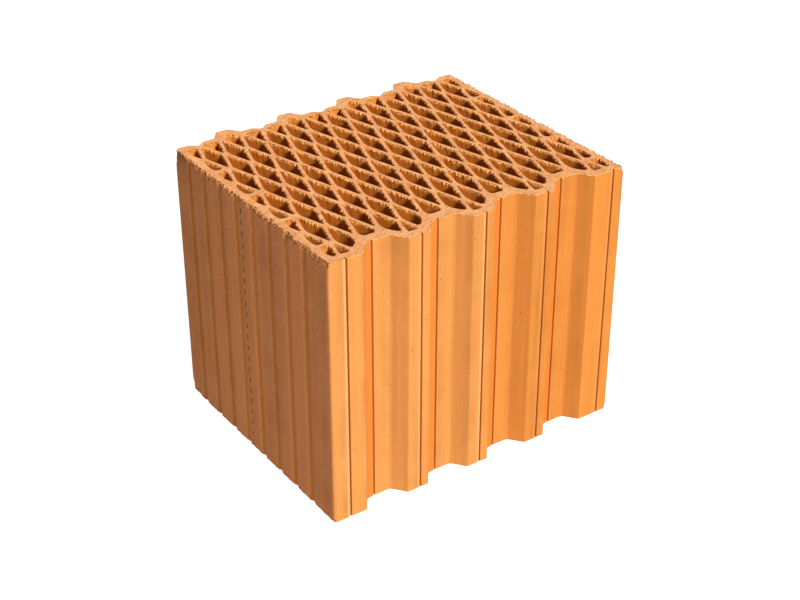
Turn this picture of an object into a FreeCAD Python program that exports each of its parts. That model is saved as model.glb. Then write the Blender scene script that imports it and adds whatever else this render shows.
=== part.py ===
import FreeCAD, Part
import math
import os

os.makedirs("parts", exist_ok=True)

# Body of the fired block, measured land to land, in millimetres
width = 300.0
length = 250.0
height = 249.0

# Interlock: four tongues on the back face and four grooves on the front face
tongue_pitch = 64.0
edge_least = 14.0
tongue_height = 10.5
tongue_base = 27.0
tongue_tip = 12.0
groove_clearance = 2.5
groove_opening = 42.6
groove_floor = 22.0
foot_spread = 2.0
strip_rise = 1.2
strip_width = 7.8

# Score lines on the grooved face, and the rounded notches between the tongues
score_width = 1.8
score_depth = 2.6
score_shift = 2.3
edge_score = 14.5
notch_width = 14.0
notch_depth = 5.5

# Shallow waves up both smooth faces, one for each row of holes but set further back
wave_shift = 3.8
wave_width = 9.4
wave_depth = 1.5

# Lattice of long diamond holes between crossed webs
column_pitch = tongue_pitch / 3.0
row_pitch = 26.75
lattice_shift = 2.3
hole_length = 48.4
hole_width = 14.5
side_flat = 2.8
tip_flat = 0.6
cross_web = 4.4
least_hole = 4.0

# Walls that are left between the holes and the outside
side_wall = 8.6
front_wall = 9.0
groove_wall = 11.0
back_wall = 7.8
tongue_wall = 11.0
notch_wall = 7.5

# Roundings of the drawn section
front_corner = 2.0
back_corner = 5.0
land_corner = 1.2
ridge_corner = 0.6
floor_corner = 5.0
tongue_corner = 1.5
notch_bottom = 3.0
wave_bottom = 3.0
wave_shoulder = 6.0
hole_corner = 1.5
side_corner = 3.5
sharp = 0.0

# As many tongues as leave a land at either edge, and as many pairs of hole rows as the length holds
tongue_count = int((width - 2.0 * edge_least) / tongue_pitch)
row_count = 2 * int(length / (2.0 * row_pitch))

# The section stands centred on the box round the whole block
groove_depth = tongue_height + groove_clearance
front = -(length + tongue_height) / 2.0
back = front + length
middle = front + length / 2.0
left = -width / 2.0
right = width / 2.0


def tongue_centres():
    """Places across the block of the tongues and of the grooves that face them."""
    first = -tongue_pitch * (tongue_count - 1) / 2.0
    return [first + tongue_pitch * i for i in range(tongue_count)]


def land_centres():
    """Places across the block midway between the tongues, the two outer lands included."""
    first = -tongue_pitch * tongue_count / 2.0
    return [first + tongue_pitch * i for i in range(tongue_count + 1)]


def row_place(row):
    """Depth into the block of one row of holes, row 0 nearest the front."""
    return middle - lattice_shift + row_pitch * (row - (row_count - 1) / 2.0)


def score(x, y):
    """A narrow cut pressed into the front while the clay was soft."""
    half = score_width / 2.0
    return [(x - half, y, sharp), (x, y + score_depth, sharp), (x + half, y, sharp)]


def groove(x):
    """One groove, from its left corner round to the ridge at its right."""
    floor = front + groove_depth
    foot = x - groove_floor / 2.0 - foot_spread
    points = [(x - groove_opening / 2.0, front, land_corner)]
    points += [(foot, floor - strip_rise, land_corner)]
    points += score(foot + strip_width, floor)
    points += [(x + groove_floor / 2.0, floor, floor_corner)]
    points += [(x + groove_opening / 2.0, front, ridge_corner)]
    return points


def front_profile():
    """The grooved face from left to right, with one score line on each land."""
    points = [(left, front, front_corner)]
    points += score(left + edge_score + score_shift, front)
    lands = land_centres()
    for i, x in enumerate(tongue_centres()):
        if i > 0:
            points += score(lands[i] + score_shift, front)
        points += groove(x)
    points += score(right - edge_score + score_shift, front)
    points += [(right, front, front_corner)]
    return points


def tongue(x):
    """One tongue, walked from right to left along the back."""
    tip = back + tongue_height
    return [
        (x + tongue_base / 2.0, back, land_corner),
        (x + tongue_tip / 2.0, tip, tongue_corner),
        (x - tongue_tip / 2.0, tip, tongue_corner),
        (x - tongue_base / 2.0, back, land_corner),
    ]


def notch(x):
    """The rounded valley in the middle of a land, walked from right to left."""
    return [
        (x + notch_width / 2.0, back, land_corner),
        (x, back - notch_depth, notch_bottom),
        (x - notch_width / 2.0, back, land_corner),
    ]


def back_profile():
    """The tongued face from right to left."""
    lands = land_centres()
    tongues = tongue_centres()
    points = [(right, back, back_corner)]
    for i in range(tongue_count, 0, -1):
        points += notch(lands[i])
        points += tongue(tongues[i - 1])
    points += notch(lands[0])
    points += [(left, back, back_corner)]
    return points


def waves(face, inward, rows):
    """Shallow waves up one smooth face, each as a valley with soft shoulders."""
    points = []
    half = wave_width / 2.0 if rows[0] < rows[-1] else -wave_width / 2.0
    for row in rows:
        y = row_place(row) + lattice_shift + wave_shift
        points += [(face, y - half, wave_shoulder)]
        points += [(face + inward * wave_depth, y, wave_bottom)]
        points += [(face, y + half, wave_shoulder)]
    return points


def outline():
    """The whole section, walked anticlockwise from the front left corner."""
    rows = list(range(row_count))
    points = front_profile()
    points += waves(right, -1.0, rows)
    points += back_profile()
    points += waves(left, 1.0, rows[::-1])
    return points


def corner_cut(before, corner, after, radius):
    """Ends and middle of the arc that rounds one corner, no longer than half of either side."""
    here = FreeCAD.Vector(corner[0], corner[1], 0.0)
    back_way = FreeCAD.Vector(before[0], before[1], 0.0) - here
    on_way = FreeCAD.Vector(after[0], after[1], 0.0) - here
    reach = 0.48 * min(back_way.Length, on_way.Length)
    back_way.normalize()
    on_way.normalize()
    half = back_way.getAngle(on_way) / 2.0
    cut = min(radius / math.tan(half), reach)
    real_radius = cut * math.tan(half)
    bisector = back_way + on_way
    bisector.normalize()
    middle_way = real_radius / math.sin(half) - real_radius
    return here + back_way * cut, here + bisector * middle_way, here + on_way * cut


def section_wire(points):
    """Closed wire through points of x, y and corner radius."""
    ends = []
    edges = []
    count = len(points)
    for i in range(count):
        x, y, radius = points[i]
        if radius > 0.0:
            ends.append(corner_cut(points[i - 1], points[i], points[(i + 1) % count], radius))
        else:
            here = FreeCAD.Vector(x, y, 0.0)
            ends.append((here, here, here))
    for i in range(count):
        start, mid, end = ends[i]
        if points[i][2] > 0.0:
            edges.append(Part.Arc(start, mid, end).toShape())
        edges.append(Part.makeLine(end, ends[(i + 1) % count][0]))
    return Part.Wire(edges)


def cell(x, y):
    """A long diamond between four webs, its side corners and its two tips cut off flat."""
    slope = hole_width / hole_length
    shoulder = side_flat / 2.0
    flank = hole_width / 2.0 - slope * shoulder
    half_tip = tip_flat / 2.0
    tip = hole_length / 2.0 - half_tip / slope
    return [
        (x - half_tip, y - tip, sharp),
        (x + half_tip, y - tip, sharp),
        (x + flank, y - shoulder, sharp),
        (x + flank, y + shoulder, sharp),
        (x + half_tip, y + tip, sharp),
        (x - half_tip, y + tip, sharp),
        (x - flank, y + shoulder, sharp),
        (x - flank, y - shoulder, sharp),
    ]


def keep_left(points, start, end, radius=hole_corner):
    """The part of a convex outline on the left of the line from start to end, its new corners rounded."""
    def side(p):
        across = (end[0] - start[0]) * (p[1] - start[1])
        along = (end[1] - start[1]) * (p[0] - start[0])
        return across - along
    kept = []
    for i, p in enumerate(points):
        q = points[(i + 1) % len(points)]
        a = side(p)
        b = side(q)
        if a >= 0.0:
            kept.append(p)
        if (a > 0.0 > b) or (a < 0.0 < b):
            t = a / (a - b)
            kept.append((p[0] + t * (q[0] - p[0]), p[1] + t * (q[1] - p[1]), radius))
    return kept


def shifted(start, end, distance):
    """The line from start to end, moved to its left by a distance."""
    length_of = math.hypot(end[0] - start[0], end[1] - start[1])
    dx = -(end[1] - start[1]) / length_of * distance
    dy = (end[0] - start[0]) / length_of * distance
    return (start[0] + dx, start[1] + dy), (end[0] + dx, end[1] + dy)


def below(points, y, radius=hole_corner):
    """The part of an outline nearer to the front than y."""
    return keep_left(points, (right, y), (left, y), radius)


def above(points, y, radius=hole_corner):
    """The part of an outline further from the front than y."""
    return keep_left(points, (left, y), (right, y), radius)


def nearest(places, x):
    """The one of some places across the block that lies nearest to x."""
    return min(places, key=lambda place: abs(place - x))


def in_line(places, x):
    """Whether a column of holes stands in line with one of some places across the block."""
    return abs(nearest(places, x) - x) < column_pitch / 4.0


def behind_grooves(points, x):
    """Clip a hole of the first row by the wall behind the nearest groove."""
    centre = nearest(tongue_centres(), x)
    floor = front + groove_depth
    if in_line(tongue_centres(), x):
        return above(points, floor + groove_wall)
    hand = 1.0 if x > centre else -1.0
    outer = (centre + hand * groove_opening / 2.0, front)
    foot = (centre + hand * groove_floor / 2.0, floor)
    ends = (foot, outer) if hand > 0.0 else (outer, foot)
    return keep_left(points, *shifted(ends[0], ends[1], front_wall))


def inside_tongue(points, centre):
    """Clip a hole of the last row so that it runs into the tongue with a full wall round it."""
    tip = back + tongue_height
    base_right = (centre + tongue_base / 2.0, back)
    tip_right = (centre + tongue_tip / 2.0, tip)
    base_left = (centre - tongue_base / 2.0, back)
    tip_left = (centre - tongue_tip / 2.0, tip)
    points = keep_left(points, *shifted(base_right, tip_right, tongue_wall))
    return keep_left(points, *shifted(tip_left, base_left, tongue_wall))


def columns(row):
    """Places across the block of the holes of one row, odd rows half a pitch to the side."""
    start = tongue_centres()[0]
    if row % 2 != 0:
        start += column_pitch / 2.0
    reach = right - side_wall - least_hole + hole_width / 2.0
    first = math.ceil((-reach - start) / column_pitch)
    last = math.floor((reach - start) / column_pitch)
    return [start + column_pitch * i for i in range(first, last + 1)]


def within_ends(points, x, row):
    """Clip a hole by the walls at the front and at the back of the block."""
    points = above(points, front + front_wall)
    if row == 0:
        points = behind_grooves(points, x)
    if row == row_count and in_line(tongue_centres(), x):
        return inside_tongue(points, nearest(tongue_centres(), x))
    if row == row_count - 1 and in_line(land_centres(), x):
        return below(points, back - notch_depth - notch_wall)
    return below(points, back - back_wall)


def within_sides(points, y):
    """Clip a hole by the walls of the smooth faces, with a cross web in one that is cut."""
    inner_right = right - side_wall
    inner_left = left + side_wall
    if max(p[0] for p in points) < inner_right and min(p[0] for p in points) > inner_left:
        return [points]
    points = keep_left(points, (inner_right, front), (inner_right, back), side_corner)
    points = keep_left(points, (inner_left, back), (inner_left, front), side_corner)
    half = cross_web / 2.0
    return [below(points, y - half, side_corner), above(points, y + half, side_corner)]


def large_enough(points):
    """Whether a core of the die can be made for what the walls leave of a hole."""
    if len(points) < 3:
        return False
    across = max(p[0] for p in points) - min(p[0] for p in points)
    along = max(p[1] for p in points) - min(p[1] for p in points)
    return min(across, along) >= least_hole


def holes():
    """All the holes of the lattice; the row before the first shows only behind the lands."""
    found = []
    for row in range(-1, row_count + 1):
        y = row_place(row)
        for x in columns(row):
            if row == -1 and not in_line(land_centres(), x):
                continue
            for part in within_sides(cell(x, y), y):
                if large_enough(part):
                    found.append(within_ends(part, x, row))
    return [points for points in found if large_enough(points)]


def block():
    """The section with all its holes, drawn out to the height of the block."""
    wires = [section_wire(outline())]
    wires += [section_wire(points) for points in holes()]
    section = Part.makeFace(wires, "Part::FaceMakerBullseye")
    return section.extrude(FreeCAD.Vector(0.0, 0.0, height))


shape = block()
shape.exportStep("parts/hollow_clay_block.step")
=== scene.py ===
import math
import bmesh
import bpy
import numpy
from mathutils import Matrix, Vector


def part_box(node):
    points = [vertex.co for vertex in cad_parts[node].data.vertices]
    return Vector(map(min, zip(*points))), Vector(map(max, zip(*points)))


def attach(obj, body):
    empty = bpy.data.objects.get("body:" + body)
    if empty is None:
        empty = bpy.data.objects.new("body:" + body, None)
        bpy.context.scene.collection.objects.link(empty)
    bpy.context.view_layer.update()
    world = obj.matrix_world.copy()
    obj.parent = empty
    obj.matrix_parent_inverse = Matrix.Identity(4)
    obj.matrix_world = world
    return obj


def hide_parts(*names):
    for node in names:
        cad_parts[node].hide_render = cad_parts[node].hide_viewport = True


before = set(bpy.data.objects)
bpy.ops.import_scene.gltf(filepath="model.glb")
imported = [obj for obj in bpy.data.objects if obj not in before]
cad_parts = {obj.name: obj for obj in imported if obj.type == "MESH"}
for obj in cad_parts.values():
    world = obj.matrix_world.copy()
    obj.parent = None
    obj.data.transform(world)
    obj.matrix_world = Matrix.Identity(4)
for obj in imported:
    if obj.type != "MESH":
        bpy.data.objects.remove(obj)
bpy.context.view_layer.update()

# The fired block: one piece of porous clay, pressed through a die as an endless lattice, cut to
# length with a wire, dried, fired, and then ground flat on its two beds. Grinding breaks the thin
# webs, so every rim of every hole is ragged, and the long edges of the smooth faces crumble.
BLOCK = "hollow_clay_block"
low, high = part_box(BLOCK)

# The points of the section lie close where the wheel tore the rim, and on the outline, and wide
# apart where the rim stayed clean. The wheel ran from the far right corner to the near left one.
TORN_STEP = 0.0010
CLEAN_STEP = 0.0028
OUTLINE_STEP = 0.0009
CORNER_TURN = math.radians(25.0)
WHEEL_WAY = Vector((-0.88, -0.47, 0.0))
SAME_LEVEL = 1e-5
SAME_POINT = 1e-6


def rim_loops(mesh, level):
    """Closed rows of points where a bed face meets the walls, each with its walls' normals."""
    merged = bmesh.new()
    merged.from_mesh(mesh)
    bmesh.ops.remove_doubles(merged, verts=merged.verts, dist=SAME_POINT)
    merged.normal_update()
    onward = {}
    for edge in merged.edges:
        if any(abs(v.co.z - level) > SAME_LEVEL for v in edge.verts):
            continue
        walls = [f for f in edge.link_faces if abs(f.normal.z) < 0.5]
        if len(walls) != 1:
            continue
        a, b = (v.co.to_2d() for v in edge.verts)
        normal = walls[0].normal.to_2d().normalized()
        if (b - a).cross(normal) > 0.0:
            a, b = b, a
        onward[tuple(a)] = (tuple(b), tuple(normal))
    merged.free()
    loops = []
    while onward:
        place = next(iter(onward))
        loop = []
        while place in onward:
            following, normal = onward.pop(place)
            loop.append((Vector(place), Vector(normal)))
            place = following
        loops.append(loop)
    return loops


def evenly_spaced(loop, outer):
    """The same closed row with its corners kept and the stretches between them divided evenly."""
    count = len(loop)
    sides = [(loop[(i + 1) % count][0] - loop[i][0]) for i in range(count)]
    corners = [i for i in range(count) if abs(sides[i - 1].angle_signed(sides[i], 0.0)) > CORNER_TURN]
    corners = corners or [0]
    spaced = []
    for order, start in enumerate(corners):
        end = corners[(order + 1) % len(corners)]
        run = [i % count for i in range(start, end + (count if end <= start else 0))]
        lengths = [sides[i].length for i in run]
        towards = sum((loop[i][1] * sides[i].length for i in run), Vector((0.0, 0.0)))
        step = TORN_STEP if towards.dot(WHEEL_WAY.to_2d()) > 0.0 else CLEAN_STEP
        pieces = max(1, round(sum(lengths) / (OUTLINE_STEP if outer else step)))
        gap = sum(lengths) / pieces
        done = 0.0
        at = 0
        for piece in range(pieces):
            target = gap * piece
            while at < len(run) - 1 and done + lengths[at] < target:
                done += lengths[at]
                at += 1
            i = run[at]
            share = (target - done) / max(lengths[at], 1e-9)
            spaced.append((loop[i][0] + sides[i] * share, loop[i][1]))
    return spaced


def softened(points):
    """A closed row of points drawn twice towards its neighbours, all but its sharp corners."""
    before = points - numpy.roll(points, 1, axis=0)
    after = numpy.roll(points, -1, axis=0) - points
    lengths = numpy.linalg.norm(before, axis=1) * numpy.linalg.norm(after, axis=1)
    gentle = ((before * after).sum(axis=1) > math.cos(CORNER_TURN) * lengths)[:, None]
    for _ in range(2):
        between = (numpy.roll(points, 1, axis=0) + numpy.roll(points, -1, axis=0)) / 2.0
        points = numpy.where(gentle, (points + between) / 2.0, points)
    return points


def facing(points):
    """Unit normals of a closed row of points, towards the air, softened over their neighbours."""
    sides = numpy.roll(points, -1, axis=0) - points
    normals = numpy.stack([sides[:, 1], -sides[:, 0]], axis=1)
    normals /= numpy.linalg.norm(normals, axis=1)[:, None]
    normals = normals + numpy.roll(normals, 1, axis=0)
    return normals / numpy.linalg.norm(normals, axis=1)[:, None]


def room(points, normals):
    """Free distance from each point of a closed row to the part of the row that faces it."""
    apart = numpy.linalg.norm(points[:, None] - points[None], axis=2)
    turned_to = -0.3
    wide_open = 1.0
    apart[normals @ normals.T > turned_to] = wide_open
    return apart.min(axis=1)


def section_mesh(loops):
    """The filled section of the block, every point marked with what the wear of its rim needs."""
    widest_hole = 0.2
    deepest_wave = 0.0025
    drawn = bmesh.new()
    marks = {name: [] for name in ("facing", "room", "inside", "smooth")}
    edges = []
    for loop in loops:
        points = numpy.array([p for p, _ in loop])
        outer = points[:, 0].max() - points[:, 0].min() > widest_hole
        points = numpy.array([p for p, _ in evenly_spaced(loop, outer)])
        points = points if outer else softened(points)
        normals = facing(points)
        verts = [drawn.verts.new((x, y, 0.0)) for x, y in points]
        for i, vert in enumerate(verts):
            edges.append(drawn.edges.new((vert, verts[(i + 1) % len(verts)])))
        on_side = [outer and abs(x) > high[0] - deepest_wave for x, _ in points]
        marks["facing"] += [(x, y, 0.0) for x, y in normals]
        marks["room"] += list(room(points, normals))
        marks["inside"] += [0.0 if outer else 1.0] * len(verts)
        marks["smooth"] += [1.0 if side else 0.0 for side in on_side]
    bmesh.ops.triangle_fill(drawn, use_beauty=True, use_dissolve=False, edges=edges)
    for face in drawn.faces:
        if face.normal.z > 0.0:
            face.normal_flip()
    mesh = bpy.data.meshes.new("block_section")
    drawn.to_mesh(mesh)
    drawn.free()
    for name, values in marks.items():
        kind, slot = ("FLOAT_VECTOR", "vector") if name == "facing" else ("FLOAT", "value")
        layer = mesh.attributes.new(name, kind, "POINT")
        layer.data.foreach_set(slot, numpy.array(values, dtype=float).ravel())
    return mesh


MATH = "ShaderNodeMath"
VECTOR = "ShaderNodeVectorMath"
RANGE = "ShaderNodeMapRange"
NOISE = "ShaderNodeTexNoise"
SPLIT = "ShaderNodeSeparateXYZ"
MADE_OF = "ShaderNodeCombineXYZ"
COMPARE = "FunctionNodeCompare"
READ = "GeometryNodeInputNamedAttribute"


def add_node(tree, kind, links={}, **settings):
    """Add one node, set its properties, and join or set each of its inputs by name or place."""
    node = tree.nodes.new(kind)
    for name, value in settings.items():
        setattr(node, name, value)
    for place, value in links.items():
        if isinstance(value, bpy.types.NodeSocket):
            tree.links.new(value, node.inputs[place])
        else:
            node.inputs[place].default_value = value
    return node


# Drawing the block: the section is pulled up to its height in rings that lie close together at
# both beds, and the rims are then broken back. A chip is as wide at the bed as the wheel tore it,
# and runs out down the wall; a burr is a lip of clay that the wheel pushed over the hole.
tree = bpy.data.node_groups.new("drawn_block", "GeometryNodeTree")
for name, kind, value in (
    ("Section", "NodeSocketGeometry", None),
    ("Height", "NodeSocketFloat", high[2] - low[2]),
    ("Chip size", "NodeSocketFloat", 0.0016),
    ("Chip width", "NodeSocketFloat", 0.0013),
    ("Chip depth", "NodeSocketFloat", 0.0020),
    ("Rim wear width", "NodeSocketFloat", 0.00035),
    ("Rim wear depth", "NodeSocketFloat", 0.0003),
    ("Crumb size", "NodeSocketFloat", 0.0030),
    ("Crumble width", "NodeSocketFloat", 0.0022),
    ("Crumble depth", "NodeSocketFloat", 0.0048),
    ("Least crumble depth", "NodeSocketFloat", 0.0012),
    ("Crumbled stretch", "NodeSocketFloat", 0.009),
    ("Knocked place", "NodeSocketFloat", high[1] - 0.0105),
    ("Knocked length", "NodeSocketFloat", 0.026),
    ("Knocked height", "NodeSocketFloat", 0.0125),
    ("Burr size", "NodeSocketFloat", 0.0019),
    ("Burr length", "NodeSocketFloat", 0.0010),
    ("Seed", "NodeSocketFloat", 7.0),
    ("Skin", "NodeSocketMaterial", None),
    ("Ground bed", "NodeSocketMaterial", None),
):
    socket = tree.interface.new_socket(name, in_out="INPUT", socket_type=kind)
    if value is not None:
        socket.default_value = value
tree.interface.new_socket("Block", in_out="OUTPUT", socket_type="NodeSocketGeometry")
sizes = add_node(tree, "NodeGroupInput").outputs

# Heights of the rings: those above nought count from the lower bed, the others from the top.
hole_rings = (0.0006, 0.0027, -0.0027, -0.0018, -0.0011, -0.0005, 0.0)
outline_rings = (0.0004, 0.001, 0.002, 0.0035, 0.006, 0.010, 0.014, 0.05, 0.085, -0.085, -0.05,
                 -0.014, -0.010, -0.007, -0.005, -0.0034, -0.0022, -0.0012, -0.0004, 0.0)
position = add_node(tree, "GeometryNodeInputPosition").outputs[0]
place = add_node(tree, SPLIT, {0: position}).outputs
inside, smooth, free = (add_node(tree, READ, {"Name": name}, data_type="FLOAT").outputs[0]
                        for name in ("inside", "smooth", "room"))
outward = add_node(tree, READ, {"Name": "facing"}, data_type="FLOAT_VECTOR").outputs[0]
faces_met = add_node(tree, "GeometryNodeInputMeshEdgeNeighbors").outputs[0]
one_face = add_node(tree, COMPARE, {2: faces_met, 3: 1}, data_type="INT", operation="EQUAL").outputs[0]
body = sizes["Section"]
for rings, which in ((hole_rings, "GREATER_THAN"), (outline_rings, "LESS_THAN")):
    this_kind = add_node(tree, COMPARE, {0: inside, 1: 0.5}, data_type="FLOAT", operation=which).outputs[0]
    chosen = add_node(tree, "FunctionNodeBooleanMath", {0: one_face, 1: this_kind},
                      operation="AND").outputs[0]
    for level in rings:
        base = sizes["Height"] if level <= 0.0 else 0.0
        lift = add_node(tree, MATH, {0: base, 1: level}, operation="ADD").outputs[0]
        rise = add_node(tree, MATH, {0: lift, 1: place[2]}, operation="SUBTRACT").outputs[0]
        along = add_node(tree, MADE_OF, {2: rise}).outputs[0]
        pulled = add_node(tree, "GeometryNodeExtrudeMesh",
                          {"Mesh": body, "Selection": chosen, "Offset": along}, mode="EDGES")
        body = pulled.outputs["Mesh"]
        chosen = pulled.outputs["Top"]

to_top = add_node(tree, MADE_OF, {2: sizes["Height"]}).outputs[0]
top = add_node(tree, "GeometryNodeTransform",
               {"Geometry": sizes["Section"], "Translation": to_top}).outputs[0]
top = add_node(tree, "GeometryNodeFlipFaces", {0: top}).outputs[0]
closed = add_node(tree, "GeometryNodeJoinGeometry")
for shell in (top, body):
    tree.links.new(shell, closed.inputs[0])
closed = add_node(tree, "GeometryNodeMergeByDistance",
                  {"Geometry": closed.outputs[0], "Distance": 2.0 * SAME_POINT}).outputs[0]

# The wear of a rim changes along it and not with height, and differs from one bed to the other.
BEDS_APART = 3.7
from_top = add_node(tree, MATH, {0: sizes["Height"], 1: place[2]}, operation="SUBTRACT").outputs[0]
from_bed = add_node(tree, MATH, {0: from_top, 1: place[2]}, operation="MINIMUM").outputs[0]
upper = add_node(tree, MATH, {0: place[2], 1: from_top}, operation="GREATER_THAN").outputs[0]
shift = add_node(tree, MATH, {0: upper, 1: BEDS_APART, 2: sizes["Seed"]},
                 operation="MULTIPLY_ADD").outputs[0]
along_rim = add_node(tree, MADE_OF, {0: place[0], 1: place[1], 2: shift}).outputs[0]


def rim_noise(size, low_end, high_end, detail, turn):
    """Noise that changes only along the rim, stretched to run from nothing to full."""
    scale = add_node(tree, MATH, {0: 1.0, 1: size}, operation="DIVIDE").outputs[0]
    moved = add_node(tree, VECTOR, {0: along_rim, 1: (turn, turn, turn)}, operation="ADD").outputs[0]
    noise = add_node(tree, NOISE, {"Vector": moved, "Scale": scale, "Detail": detail,
                                   "Roughness": 0.6}).outputs[0]
    return add_node(tree, RANGE, {"Value": noise, "From Min": low_end, "From Max": high_end},
                    interpolation_type="SMOOTHSTEP").outputs[0]


# The wheel tears clay out where it leaves a web, so the rims that face along its way are ragged.
SPARED = 0.12
with_wheel = add_node(tree, VECTOR, {0: outward, 1: WHEEL_WAY}, operation="DOT_PRODUCT").outputs[1]
torn = add_node(tree, RANGE, {"Value": with_wheel, "From Min": -0.3, "From Max": 0.5,
                              "To Min": SPARED}).outputs[0]

# Small chips along the rims of the holes, and far smaller ones along the outline.
only_holes = add_node(tree, RANGE, {"Value": inside, "To Min": SPARED}).outputs[0]
chipped = rim_noise(sizes["Chip size"], 0.34, 0.66, 3.0, 0.0)
for share in (torn, only_holes):
    chipped = add_node(tree, MATH, {0: chipped, 1: share}, operation="MULTIPLY").outputs[0]
chip_deep, chip_wide = (
    add_node(tree, MATH, {0: chipped, 1: sizes[most], 2: sizes[least]}, operation="MULTIPLY_ADD").outputs[0]
    for most, least in (("Chip depth", "Rim wear depth"), ("Chip width", "Rim wear width")))
gone = add_node(tree, MATH, {0: from_bed, 1: chip_deep}, operation="DIVIDE").outputs[0]
left_over = add_node(tree, MATH, {0: 1.0, 1: gone}, operation="SUBTRACT", use_clamp=True).outputs[0]
broken_back = add_node(tree, MATH, {0: left_over, 1: chip_wide}, operation="MULTIPLY").outputs[0]

# The edges of the smooth faces crumble in lumps, the upper one more than the lower.
lump_scale = add_node(tree, MATH, {0: 1.0, 1: sizes["Crumb size"]}, operation="DIVIDE").outputs[0]
lumps = add_node(tree, NOISE, {"Vector": position, "Scale": lump_scale, "Detail": 2.0,
                               "Roughness": 0.6}).outputs[0]
lumps = add_node(tree, RANGE, {"Value": lumps, "From Min": 0.36, "From Max": 0.54},
                 interpolation_type="SMOOTHSTEP").outputs[0]
stretches = rim_noise(sizes["Crumbled stretch"], 0.35, 0.75, 2.0, 0.17)
reach = add_node(tree, MATH, {0: stretches, 1: sizes["Crumble depth"], 2: sizes["Least crumble depth"]},
                 operation="MULTIPLY_ADD").outputs[0]
run_out = add_node(tree, MATH, {0: from_bed, 1: reach}, operation="DIVIDE").outputs[0]
run_out = add_node(tree, MATH, {0: 1.0, 1: run_out}, operation="SUBTRACT", use_clamp=True).outputs[0]
run_out = add_node(tree, MATH, {0: run_out, 1: 0.5}, operation="POWER").outputs[0]
worn_less = add_node(tree, RANGE, {"Value": upper, "To Min": 0.3}).outputs[0]
crumble = lumps
for share in (run_out, worn_less):
    crumble = add_node(tree, MATH, {0: crumble, 1: share}, operation="MULTIPLY").outputs[0]

# The corner of the left face next to the tongues was knocked, at the top and at the bottom.
along_y = add_node(tree, MATH, {0: place[1], 1: -1.0, 2: sizes["Knocked place"]},
                   operation="MULTIPLY_ADD").outputs[0]
along_y = add_node(tree, MATH, {0: along_y, 1: sizes["Knocked length"]}, operation="DIVIDE").outputs[0]
down = add_node(tree, MATH, {0: from_bed, 1: sizes["Knocked height"]}, operation="DIVIDE").outputs[0]
knock = add_node(tree, MADE_OF, {0: along_y, 1: down}).outputs[0]
knock = add_node(tree, VECTOR, {0: knock}, operation="LENGTH").outputs[1]
knock = add_node(tree, RANGE, {"Value": knock, "From Min": 1.0, "From Max": 0.55}).outputs[0]
left_side = add_node(tree, MATH, {0: place[0], 1: 0.0}, operation="LESS_THAN").outputs[0]
knock = add_node(tree, MATH, {0: knock, 1: left_side}, operation="MULTIPLY").outputs[0]
bitten = add_node(tree, MATH, {0: lumps, 1: 0.35, 2: 0.35}, operation="MULTIPLY_ADD").outputs[0]
bitten = add_node(tree, MATH, {0: bitten, 1: knock}, operation="MULTIPLY").outputs[0]
crumble = add_node(tree, MATH, {0: crumble, 1: bitten}, operation="MAXIMUM").outputs[0]
crumble = add_node(tree, MATH, {0: crumble, 1: smooth}, operation="MULTIPLY").outputs[0]
crumble_in = add_node(tree, MATH, {0: crumble, 1: sizes["Crumble width"]}, operation="MULTIPLY").outputs[0]
knocked = knock
for share in (smooth, upper):
    knocked = add_node(tree, MATH, {0: knocked, 1: share}, operation="MULTIPLY").outputs[0]

# Burrs: thin lips within the first millimetres, never longer than a quarter of the free room.
BURR_SHARE = 0.22
lip = add_node(tree, RANGE, {"Value": from_bed, "From Min": 0.0006, "From Max": 0.0028,
                             "To Min": 1.0, "To Max": 0.0}).outputs[0]
free = add_node(tree, MATH, {0: free, 1: BURR_SHARE}, operation="MULTIPLY").outputs[0]
longest = add_node(tree, MATH, {0: free, 1: sizes["Burr length"]}, operation="MINIMUM").outputs[0]
burr = lip
for share in (rim_noise(sizes["Burr size"], 0.46, 0.64, 2.0, 0.31), longest, torn, inside):
    burr = add_node(tree, MATH, {0: burr, 1: share}, operation="MULTIPLY").outputs[0]
push = burr
for taken in (broken_back, crumble_in):
    push = add_node(tree, MATH, {0: push, 1: taken}, operation="SUBTRACT").outputs[0]
moved = add_node(tree, VECTOR, {0: outward, "Scale": push}, operation="SCALE").outputs[0]

# What the skin needs to know of the wear is stored on the block before its points are moved.
FRAY = 0.0008
frayed = add_node(tree, MATH, {0: torn, 1: inside}, operation="MULTIPLY").outputs[0]
frayed = add_node(tree, MATH, {0: frayed, 1: FRAY, 2: chip_deep}, operation="MULTIPLY_ADD").outputs[0]
marked = closed
for name, value in (("chip_depth", frayed), ("crumbled", crumble), ("knocked", knocked)):
    marked = add_node(tree, "GeometryNodeStoreNamedAttribute",
                      {"Geometry": marked, "Name": name, "Value": value},
                      data_type="FLOAT", domain="POINT").outputs[0]
worn = add_node(tree, "GeometryNodeSetPosition", {"Geometry": marked, "Offset": moved}).outputs[0]
turned = add_node(tree, "GeometryNodeInputMeshEdgeAngle").outputs[0]
sharp = add_node(tree, COMPARE, {0: turned, 1: math.radians(32.0)}, data_type="FLOAT",
                 operation="GREATER_THAN").outputs[0]
worn = add_node(tree, "GeometryNodeSetShadeSmooth", {"Geometry": worn, "Shade Smooth": True},
                domain="FACE").outputs[0]
worn = add_node(tree, "GeometryNodeSetShadeSmooth",
                {"Geometry": worn, "Selection": sharp, "Shade Smooth": False}, domain="EDGE").outputs[0]
flat = add_node(tree, COMPARE, {0: from_bed, 1: SAME_LEVEL}, data_type="FLOAT",
                operation="LESS_THAN").outputs[0]
real = add_node(tree, "GeometryNodeRealizeInstances", {"Geometry": worn}).outputs[0]
real = add_node(tree, "GeometryNodeSetMaterial", {"Geometry": real, "Material": sizes["Skin"]}).outputs[0]
real = add_node(tree, "GeometryNodeSetMaterial",
                {"Geometry": real, "Selection": flat, "Material": sizes["Ground bed"]}).outputs[0]
add_node(tree, "NodeGroupOutput", {0: real})

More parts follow.
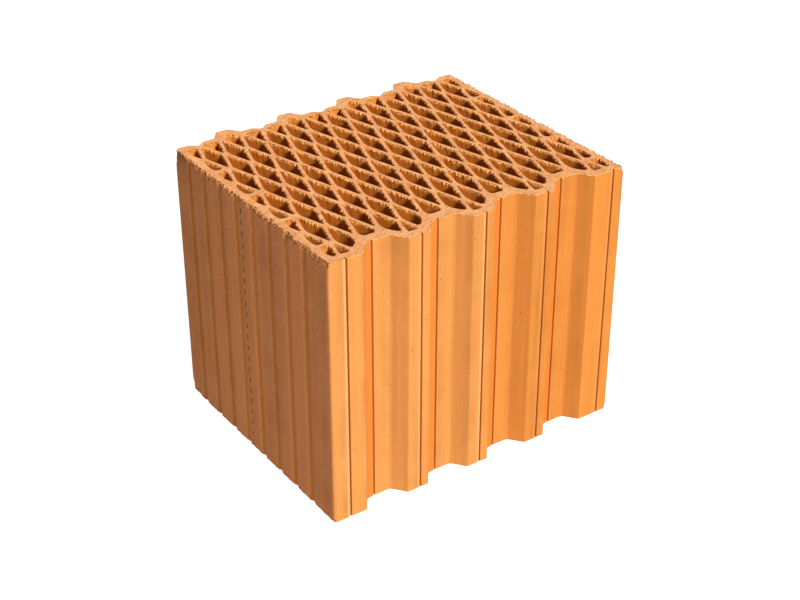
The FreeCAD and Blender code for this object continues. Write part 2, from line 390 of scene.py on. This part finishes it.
# Porous fired clay as the die left it: a dull orange skin, quite matt, with fine drag lines along
# the draw, pits where sawdust burnt out, and pale broken clay wherever a rim has chipped, painted
# with highlights and shadows. The real grain is finer than the picture can show, and is drawn just
# coarse enough to be seen.
MM = 1000.0
MIX = "ShaderNodeMix"
MAPPING = "ShaderNodeMapping"


def colour(code):
    """A colour written as sRGB hex, as linear red, green, blue and alpha."""
    parts = [int(code[i:i + 2], 16) / 255.0 for i in (1, 3, 5)]
    return [c / 12.92 if c <= 0.04045 else ((c + 0.055) / 1.055) ** 2.4 for c in parts] + [1.0]


def band(tree, value, middle, full, none, strength):
    """A soft-edged band round one value: at strength within full of it, and gone past none."""
    away = add_node(tree, MATH, {0: value, 1: middle}, operation="SUBTRACT").outputs[0]
    away = add_node(tree, MATH, {0: away}, operation="ABSOLUTE").outputs[0]
    return add_node(tree, RANGE, {"Value": away, "From Min": full, "From Max": none,
                                  "To Min": strength, "To Max": 0.0}).outputs[0]


def open_spots(tree, coords, spacing, rarest, largest):
    """Round spots of all sizes in a few of the cells of a pattern, spacing in millimetres."""
    cells = add_node(tree, "ShaderNodeTexVoronoi", {"Vector": coords, "Scale": MM / spacing}).outputs
    pick = add_node(tree, "ShaderNodeSeparateColor", {0: cells["Color"]}).outputs[0]
    size = add_node(tree, RANGE, {"Value": pick, "From Min": rarest, "From Max": 1.0,
                                  "To Min": 0.0, "To Max": largest}).outputs[0]
    return add_node(tree, MATH, {0: cells["Distance"], 1: size}, operation="LESS_THAN").outputs[0]


skin = bpy.data.materials.new("fired_clay_drawn_skin")
skin.use_nodes = True
skin.node_tree.nodes.clear()
shade = skin.node_tree
coords = add_node(shade, "ShaderNodeTexCoord").outputs["Object"]
x, y, z = add_node(shade, SPLIT, {0: coords}).outputs
drawn_out = add_node(shade, MAPPING, {"Vector": coords, "Scale": (1.0, 1.0, 0.018)}).outputs[0]
flattened = add_node(shade, MAPPING, {"Vector": coords, "Scale": (1.0, 1.0, 0.35)}).outputs[0]
within, deep, lumpy, knock_shade = (add_node(shade, "ShaderNodeAttribute", attribute_name=name).outputs["Fac"]
                              for name in ("inside", "chip_depth", "crumbled", "knocked"))

# Each pattern by the size of its grain in millimetres, its detail and its roughness.
grains = {}
for name, vector, size, detail, rough in (
    ("drag lines", drawn_out, 1.923, 3.0, 0.6),
    ("wide bands", drawn_out, 14.29, 2.0, 0.5),
    ("clouds", coords, 38.46, 4.0, 0.6),
    ("grain", coords, 1.111, 3.0, 0.7),
    ("mottle", coords, 3.333, 3.0, 0.65),
    ("ripple", coords, 8.333, 1.0, 0.5),
    ("teeth", flattened, 1.25, 2.0, 0.7),
    ("crumbs", coords, 1.613, 3.0, 0.7),
):
    grains[name] = add_node(shade, NOISE, {"Vector": vector, "Scale": MM / size, "Detail": detail,
                                           "Roughness": rough}).outputs[0]

clay = add_node(shade, "ShaderNodeValToRGB", {0: grains["clouds"]})
for stop, (at, code) in zip(clay.color_ramp.elements, ((0.32, "#9F6531"), (0.68, "#AA733D"))):
    stop.position = at
    stop.color = colour(code)
banded = add_node(shade, RANGE, {"Value": grains["wide bands"], "From Min": 0.4,
                                 "From Max": 0.62}).outputs[0]
tone = clay.outputs[0]
for factor, code in ((banded, "#AF723A"), (within, "#C07126")):
    tone = add_node(shade, MIX, {"Factor": factor, 6: tone, 7: colour(code)}, data_type="RGBA").outputs[2]
for name, least in (("drag lines", 0.94), ("grain", 0.93)):
    change = add_node(shade, RANGE, {"Value": grains[name], "From Min": 0.3, "From Max": 0.7,
                                     "To Min": least, "To Max": 1.05}).outputs[0]
    tone = add_node(shade, VECTOR, {0: tone, "Scale": change}, operation="SCALE").outputs[0]

# The smooth faces are dulled by pinkish dust, and the valleys of their waves are painted darker and
# redder as the shade in them. They are more mottled towards the top, and darker towards the tongues.
WAVES_REACH = 0.0018
CORNER_KEPT = 0.0006
from_side = add_node(shade, MATH, {0: x}, operation="ABSOLUTE").outputs[0]
from_side = add_node(shade, MATH, {0: high[0], 1: from_side}, operation="SUBTRACT").outputs[0]
crest_dust_valley_shade = add_node(shade, RANGE, {"Value": from_side, "From Min": 0.0002, "From Max": 0.0012,
                                    "To Min": 1.0, "To Max": 0.0},
                     interpolation_type="SMOOTHSTEP").outputs[0]
# Painted shade: the valleys take a darker, redder copy of the clay.
dusty, valley_shade = (add_node(shade, VECTOR, {0: tone, 1: cast}, operation="MULTIPLY").outputs[0]
               for cast in ((1.12, 1.03, 1.37), (1.04, 0.88, 0.76)))
dusty = add_node(shade, MIX, {"Factor": crest_dust_valley_shade, 6: valley_shade, 7: dusty}, data_type="RGBA").outputs[2]
calm = add_node(shade, RANGE, {"Value": z, "From Min": 0.12, "From Max": high[2],
                               "To Min": 0.92, "To Max": 0.80}).outputs[0]
mottled = add_node(shade, RANGE, {"Value": grains["mottle"], "From Min": 0.32, "From Max": 0.68,
                                  "To Min": calm, "To Max": 1.08}).outputs[0]
darker = add_node(shade, RANGE, {"Value": y, "From Min": 0.0, "From Max": high[1],
                                 "To Min": 0.955, "To Max": 0.82}).outputs[0]
for change in (mottled, darker):
    dusty = add_node(shade, VECTOR, {0: dusty, "Scale": change}, operation="SCALE").outputs[0]
wall_here = add_node(shade, MATH, {0: from_side, 1: WAVES_REACH}, operation="LESS_THAN").outputs[0]
past_corner = add_node(shade, MATH, {0: y, 1: low[1] + CORNER_KEPT}, operation="GREATER_THAN").outputs[0]
wall_here = add_node(shade, MATH, {0: wall_here, 1: past_corner}, operation="MULTIPLY").outputs[0]
tone = add_node(shade, MIX, {"Factor": wall_here, 6: tone, 7: dusty}, data_type="RGBA").outputs[2]

# The half of the front next to the right face fired redder.
redder = add_node(shade, RANGE, {"Value": x, "From Min": -0.035, "From Max": 0.055},
                  interpolation_type="SMOOTHSTEP").outputs[0]
redder = add_node(shade, MATH, {0: redder, 1: within}, operation="SUBTRACT", use_clamp=True).outputs[0]
red_clay = add_node(shade, VECTOR, {0: tone, 1: (0.94, 0.83, 0.62)}, operation="MULTIPLY").outputs[0]
tone = add_node(shade, MIX, {"Factor": redder, 6: tone, 7: red_clay}, data_type="RGBA").outputs[2]

# The floor next to each groove's foot is painted redder and darker as the shade and the light
# thrown back by the groove wall in that corner.
GROOVE_DEPTH = 0.013
GROOVE_PITCH = 0.064
FIRST_FOOT = -0.109
STRIP_WIDTH = 0.0068
groove_floor = low[1] + GROOVE_DEPTH
across = add_node(shade, MATH, {0: x, 1: -FIRST_FOOT}, operation="ADD").outputs[0]
across = add_node(shade, MATH, {0: across, 1: GROOVE_PITCH}, operation="FLOORED_MODULO").outputs[0]
foot = add_node(shade, MATH, {0: across, 1: STRIP_WIDTH}, operation="LESS_THAN").outputs[0]
corner_shade = band(shade, y, groove_floor - 0.0006, 0.0009, 0.0012, 0.75)
corner_shade = add_node(shade, MATH, {0: corner_shade, 1: within}, operation="SUBTRACT", use_clamp=True).outputs[0]
corner_shade = add_node(shade, MATH, {0: corner_shade, 1: foot}, operation="MULTIPLY").outputs[0]
# Painted shade and reflected light in the corner at each groove's foot.
tone = add_node(shade, MIX, {"Factor": corner_shade, 6: tone, 7: colour("#BA5E20")}, data_type="RGBA").outputs[2]

# Each score line of the lands pushed up a lip of clay next to it, and the lip is painted with a pale
# highlight, stronger at some lines than others. Down in the score lines, of the lands and of the floors,
# the shade is painted a deeper red.
LAND_SCORES = (low[0] + 0.0168, -0.0617, 0.0023, 0.0663, high[0] - 0.0122)
LIP_HIGHLIGHT = (0.65, 0.3, 0.6, 0.15, 0.15)
LIP_SPACING = 0.0023
FLOOR_SCORE = 0.0078
SCORE_HALF = 0.0009
SCORE_EDGE = 0.0012
lip_highlight = 0.0
score_shade = 0.0
for score, highlight_strength in zip(LAND_SCORES, LIP_HIGHLIGHT):
    lip_highlight_band = band(shade, x, score - LIP_SPACING, 0.0002, 0.0015, highlight_strength)
    lip_highlight = add_node(shade, MATH, {0: lip_highlight_band, 1: lip_highlight}, operation="ADD").outputs[0]
    score_shade_band = band(shade, x, score, SCORE_HALF, SCORE_EDGE, 1.0)
    score_shade = add_node(shade, MATH, {0: score_shade_band, 1: score_shade}, operation="ADD").outputs[0]
at_front = add_node(shade, MATH, {0: y, 1: low[1] + 0.0003}, operation="LESS_THAN").outputs[0]
lip_highlight = add_node(shade, MATH, {0: lip_highlight, 1: at_front}, operation="MULTIPLY").outputs[0]
# Painted highlight on the raised lip next to each score line.
tone = add_node(shade, MIX, {"Factor": lip_highlight, 6: tone, 7: colour("#BA8C60")}, data_type="RGBA").outputs[2]
in_land = add_node(shade, MATH, {0: y, 1: low[1] + 0.00195, 2: 0.00155}, operation="COMPARE").outputs[0]
in_floor = add_node(shade, MATH, {0: y, 1: groove_floor + 0.0016, 2: 0.0018},
                    operation="COMPARE").outputs[0]
floor_score_shade = band(shade, across, FLOOR_SCORE, SCORE_HALF, SCORE_EDGE, 0.5)
score_shade = add_node(shade, MATH, {0: score_shade, 1: in_land}, operation="MULTIPLY").outputs[0]
score_shade = add_node(shade, MATH, {0: floor_score_shade, 1: in_floor, 2: score_shade},
                  operation="MULTIPLY_ADD").outputs[0]
score_shade = add_node(shade, MATH, {0: score_shade, 1: within}, operation="SUBTRACT", use_clamp=True).outputs[0]
# Painted shade: the score lines of the lands and the floors are darkened to a deep red.
red_shade = add_node(shade, VECTOR, {0: tone, 1: (0.85, 0.50, 0.20)}, operation="MULTIPLY").outputs[0]
tone = add_node(shade, MIX, {"Factor": score_shade, 6: tone, 7: red_shade}, data_type="RGBA").outputs[2]

# The dashed line that a toothed roller pressed up one smooth face, 11 mm from dash to dash.
DASH_PITCH = 0.0111
LINE_PLACE = 0.0041
LINE_WANDER = 0.0012
wander = add_node(shade, MATH, {0: grains["ripple"], 1: LINE_WANDER, 2: -LINE_PLACE},
                  operation="MULTIPLY_ADD").outputs[0]
aside = add_node(shade, MATH, {0: y, 1: wander}, operation="ADD").outputs[0]
beat = add_node(shade, MATH, {0: z, 1: DASH_PITCH}, operation="DIVIDE").outputs[0]
beat = add_node(shade, MATH, {0: beat}, operation="FRACT").outputs[0]
left_face = add_node(shade, MATH, {0: x, 1: low[0] + 0.0015}, operation="LESS_THAN").outputs[0]
dash = band(shade, beat, 0.5, 0.20, 0.28, 1.0)
for share in (band(shade, aside, 0.0, 0.0004, 0.0009, 1.0), left_face):
    dash = add_node(shade, MATH, {0: dash, 1: share}, operation="MULTIPLY").outputs[0]
# The pits and the dashes are painted dark brown as the shade inside them.
pit = open_spots(shade, coords, 4.762, 0.93, 0.15)
for factor, code in ((pit, "#5E2E12"), (dash, "#5A2C12")):
    tone = add_node(shade, MIX, {"Factor": factor, 6: tone, 7: colour(code)}, data_type="RGBA").outputs[2]

# Broken clay: the depth of each chip comes with the mesh, and teeth a millimetre wide fray it. The
# clay is paler where broken, with painted shadows between the teeth and painted highlights where they
# catch the light. On the end walls of the holes, which face the front, it is painted darker as shade.
over = add_node(shade, MATH, {0: high[2], 1: z}, operation="SUBTRACT").outputs[0]
over = add_node(shade, MATH, {0: over, 1: z}, operation="MINIMUM").outputs[0]
teeth = add_node(shade, RANGE, {"Value": grains["teeth"], "From Min": 0.38, "From Max": 0.64,
                                "To Min": 0.3, "To Max": 1.5}).outputs[0]
edge = add_node(shade, MATH, {0: deep, 1: teeth}, operation="MULTIPLY").outputs[0]
inwards = add_node(shade, MATH, {0: edge, 1: over}, operation="SUBTRACT").outputs[0]
broken = add_node(shade, RANGE, {"Value": inwards, "From Min": -0.0001, "From Max": 0.0002}).outputs[0]
flake_light_and_shade = add_node(shade, MIX, {0: 0.5, 2: grains["crumbs"], 3: grains["teeth"]},
                  data_type="FLOAT").outputs[0]
# Dark end: painted shadow between the teeth. Pale end: broken clay with a painted highlight.
pale_lit_and_shaded = add_node(shade, "ShaderNodeValToRGB", {0: flake_light_and_shade})
for stop, (at, code) in zip(pale_lit_and_shaded.color_ramp.elements, ((0.41, "#703610"), (0.56, "#F2A45A"))):
    stop.position = at
    stop.color = colour(code)
towards = add_node(shade, "ShaderNodeAttribute", attribute_name="facing").outputs["Vector"]
towards = add_node(shade, SPLIT, {0: towards}).outputs[1]
# Painted shade on the broken clay of the end walls of the holes, which face the front.
end_wall_shade = add_node(shade, RANGE, {"Value": towards, "From Min": -0.9, "From Max": -0.5,
                                   "To Min": 0.6, "To Max": 1.0}).outputs[0]
end_wall_shade = add_node(shade, MATH, {0: end_wall_shade, 1: within}, operation="POWER").outputs[0]
flaked_lit_and_shaded = add_node(shade, VECTOR, {0: pale_lit_and_shaded.outputs[0], "Scale": end_wall_shade}, operation="SCALE").outputs[0]

# The crumbled edges take a duller copy of the broken clay's painted highlights and shadows, and the
# knocked corner is painted dark as the shade in its break.
lumpy = add_node(shade, RANGE, {"Value": lumpy, "From Min": 0.12, "From Max": 0.35}).outputs[0]
crumbly = add_node(shade, VECTOR, {0: pale_lit_and_shaded.outputs[0], 1: (0.74, 0.75, 0.98)},
                   operation="MULTIPLY").outputs[0]
# Painted shade in the break of the knocked corner.
knock_shade = add_node(shade, MATH, {0: knock_shade, 1: 0.9}, operation="MULTIPLY", use_clamp=True).outputs[0]
knock_shade_colour = add_node(shade, RANGE, {"Value": grains["crumbs"], "From Min": 0.42, "From Max": 0.62,
                                 "To Min": 0.30, "To Max": 1.0}).outputs[0]
knock_shade_colour = add_node(shade, VECTOR, {0: colour("#A0642F")[:3], "Scale": knock_shade_colour},
                  operation="SCALE").outputs[0]
for factor, change in ((broken, flaked_lit_and_shaded), (lumpy, crumbly), (knock_shade, knock_shade_colour)):
    tone = add_node(shade, MIX, {"Factor": factor, 6: tone, 7: change}, data_type="RGBA").outputs[2]

# The relief: drag lines, pits and dashes pressed in, and a rough break.
broken = add_node(shade, MATH, {0: broken, 1: lumpy}, operation="MAXIMUM").outputs[0]
drag = add_node(shade, RANGE, {"Value": within, "To Min": 0.30, "To Max": 0.06}).outputs[0]
hollow = add_node(shade, MATH, {0: pit, 1: dash}, operation="ADD").outputs[0]
rough_break = add_node(shade, MATH, {0: grains["crumbs"], 1: broken}, operation="MULTIPLY").outputs[0]
relief = grains["grain"]
for pattern, height in ((grains["drag lines"], drag), (hollow, -2.5), (rough_break, 3.0)):
    relief = add_node(shade, MATH, {0: pattern, 1: height, 2: relief},
                      operation="MULTIPLY_ADD").outputs[0]
bump = add_node(shade, "ShaderNodeBump",
                {"Height": relief, "Distance": 0.00022, "Strength": 0.8}).outputs[0]
gloss = add_node(shade, RANGE, {"Value": grains["clouds"], "To Min": 0.72, "To Max": 0.9}).outputs[0]
surface = add_node(shade, "ShaderNodeBsdfPrincipled",
                   {"Base Color": tone, "Roughness": gloss, "Normal": bump, "IOR": 1.5,
                    "Specular IOR Level": 0.03}).outputs[0]
add_node(shade, "ShaderNodeOutputMaterial", {"Surface": surface})

# Porous fired clay cut open by the grinding wheel: paler and pinker than the skin, quite matt,
# scored with fine straight strokes all one way, and dotted with open pores. The strokes are drawn
# as coarse as they need to be to show.
STROKE_TURN = math.radians(-28.0)
bed = bpy.data.materials.new("fired_clay_ground_bed")
bed.use_nodes = True
bed.node_tree.nodes.clear()
shade = bed.node_tree
coords = add_node(shade, "ShaderNodeTexCoord").outputs["Object"]
wheel_way = add_node(shade, MAPPING, {"Vector": coords, "Rotation": (0.0, 0.0, STROKE_TURN)}).outputs[0]
stroke_way = add_node(shade, MAPPING, {"Vector": wheel_way, "Scale": (0.16, 1.0, 1.0)}).outputs[0]
for name, vector, size, detail, rough in (
    ("strokes", stroke_way, 1.282, 2.0, 0.6),
    ("bed clouds", coords, 16.67, 4.0, 0.6),
    ("grit", coords, 1.25, 3.0, 0.7),
):
    grains[name] = add_node(shade, NOISE, {"Vector": vector, "Scale": MM / size, "Detail": detail,
                                           "Roughness": rough}).outputs[0]
clay = add_node(shade, "ShaderNodeValToRGB", {0: grains["bed clouds"]})
for stop, (at, code) in zip(clay.color_ramp.elements, ((0.3, "#D38D56"), (0.7, "#E2A36B"))):
    stop.position = at
    stop.color = colour(code)
tone = clay.outputs[0]
for name, start, end, most in (("strokes", 0.34, 0.62, 1.12), ("grit", 0.3, 0.7, 1.2)):
    change = add_node(shade, RANGE, {"Value": grains[name], "From Min": start, "From Max": end,
                                     "To Min": 0.80, "To Max": most}).outputs[0]
    tone = add_node(shade, VECTOR, {0: tone, "Scale": change}, operation="SCALE").outputs[0]
pore = open_spots(shade, coords, 2.381, 0.7, 0.3)
# The pores are painted dark as the shade inside them.
tone = add_node(shade, MIX, {"Factor": pore, 6: tone, 7: colour("#9A5A30")}, data_type="RGBA").outputs[2]
relief = grains["grit"]
for pattern, height in ((grains["strokes"], 1.4), (pore, -1.5)):
    relief = add_node(shade, MATH, {0: pattern, 1: height, 2: relief},
                      operation="MULTIPLY_ADD").outputs[0]
bump = add_node(shade, "ShaderNodeBump", {"Height": relief, "Distance": 0.0003, "Strength": 0.8}).outputs[0]
gloss = add_node(shade, RANGE, {"Value": grains["grit"], "To Min": 0.85, "To Max": 1.0}).outputs[0]
surface = add_node(shade, "ShaderNodeBsdfPrincipled",
                   {"Base Color": tone, "Roughness": gloss, "Normal": bump, "IOR": 1.5,
                    "Specular IOR Level": 0.15}).outputs[0]
add_node(shade, "ShaderNodeOutputMaterial", {"Surface": surface})

rims = rim_loops(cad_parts[BLOCK].data, low[2])
section = bpy.data.objects.new("block_section", section_mesh(rims))
bpy.context.scene.collection.objects.link(section)
drawing = section.modifiers.new("drawn_block", "NODES")
drawing.node_group = tree
finishes = {"Skin": skin, "Ground bed": bed}
for item in tree.interface.items_tree:
    if item.name in finishes:
        drawing[item.identifier] = finishes[item.name]
graph = bpy.context.evaluated_depsgraph_get()
finished = bpy.data.meshes.new_from_object(section.evaluated_get(graph))
finished.name = "fired_block"
bpy.data.objects.remove(section)
outwards = bmesh.new()
outwards.from_mesh(finished)
bmesh.ops.recalc_face_normals(outwards, faces=outwards.faces)
outwards.to_mesh(finished)
outwards.free()
block = bpy.data.objects.new("fired_block", finished)
bpy.context.scene.collection.objects.link(block)
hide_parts(BLOCK)
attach(block, "root")

# The floor: a sheet of plain, pale and matt paper, wide enough to fill the view, and bright enough
# of its own to stay white where no light falls on it.
REACH = 6.0
floor_mesh = bpy.data.meshes.new("floor")
floor_mesh.from_pydata([(-REACH, -REACH, 0.0), (REACH, -REACH, 0.0), (REACH, REACH, 0.0),
                        (-REACH, REACH, 0.0)], [], [(0, 1, 2, 3)])
floor = bpy.data.objects.new("floor", floor_mesh)
bpy.context.scene.collection.objects.link(floor)
paper = bpy.data.materials.new("matt_paper_floor")
paper.use_nodes = True
for name, value in (("Base Color", colour("#A9A8A6")), ("Roughness", 0.9),
                    ("Emission Color", colour("#FFFFFF")), ("Emission Strength", 0.92)):
    paper.node_tree.nodes["Principled BSDF"].inputs[name].default_value = value
floor_mesh.materials.append(paper)

# Studio light: a low, fairly hard key straight in front, a weak wide fill from behind on the right,
# and a pale room.
room_light = bpy.data.worlds.new("pale_room")
room_light.use_nodes = True
for name, value in (("Color", colour("#F0F4FF")), ("Strength", 0.18)):
    room_light.node_tree.nodes["Background"].inputs[name].default_value = value
bpy.context.scene.world = room_light
for name, energy, spread, from_where in (
    ("key_light", 6.2, 10.0, (0.0, -0.883, 0.469)),
    ("fill_light", 1.5, 25.0, (0.45, 0.79, 0.42)),
):
    lamp = bpy.data.lights.new(name, "SUN")
    lamp.energy = energy
    lamp.angle = math.radians(spread)
    light = bpy.data.objects.new(name, lamp)
    light.rotation_euler = Vector(from_where).to_track_quat("Z", "Y").to_euler()
    bpy.context.scene.collection.objects.link(light)

# The camera stands at the photograph's angle, off the near left corner and above. Its focal length
# was found in points of a picture 800 points wide.
SENSOR = 36.0
lens = bpy.data.cameras.new("camera")
lens.sensor_width = SENSOR
lens.lens = SENSOR * 1578.0 / 800.0
camera = bpy.data.objects.new("camera", lens)
camera.location = (-0.70156, -1.0185, 0.83562)
camera.rotation_euler = Vector((0.49172, 0.70645, -0.50906)).to_track_quat("-Z", "Y").to_euler()
bpy.context.scene.collection.objects.link(camera)
bpy.context.scene.camera = camera
bpy.context.scene.view_settings.view_transform = "Standard"
